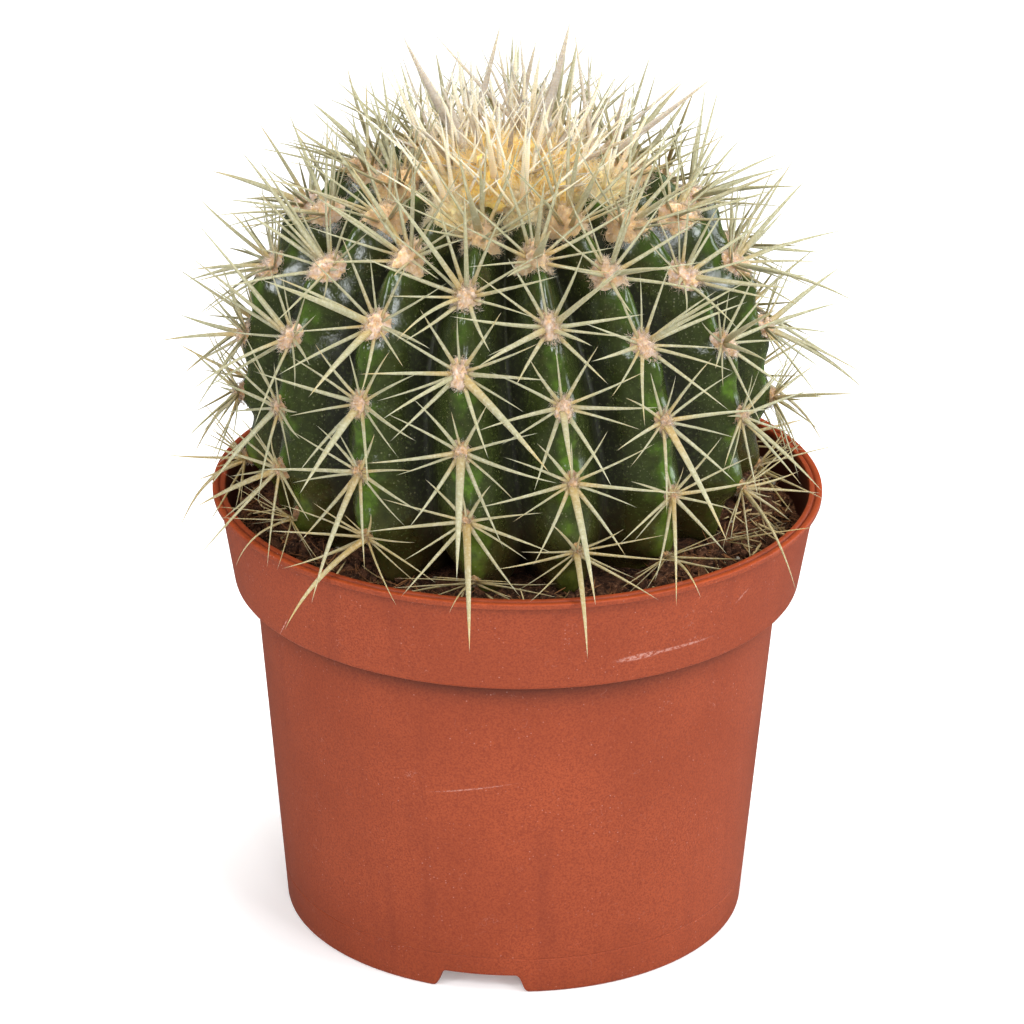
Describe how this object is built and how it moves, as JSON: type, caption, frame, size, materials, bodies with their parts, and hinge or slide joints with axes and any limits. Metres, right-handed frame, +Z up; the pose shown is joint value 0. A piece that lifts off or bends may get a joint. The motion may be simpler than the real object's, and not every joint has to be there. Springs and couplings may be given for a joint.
{
  "type": "potted round cactus",
  "caption": "Round ribbed cactus with woolly pads, spreading pale spines and a golden crown, growing in soil in a plastic nursery pot.",
  "frame": {"origin": "on the pot's axis, at the level of the surface that the pot stands on", "axes": "+Z up along the pot's axis, -Y towards the viewer of the front, +X to the right in that view"},
  "size_m": [0.1366, 0.1367, 0.1832],
  "materials": {
    "pot_plastic": "matte",
    "soil": "matte",
    "cactus_skin": "satin",
    "crown_wool": "matte"
  },
  "bodies": {
    "root": {"pot": "pot_plastic", "soil": "soil", "cactus": "cactus_skin", "crown": "crown_wool"}
  },
  "joints": []
}
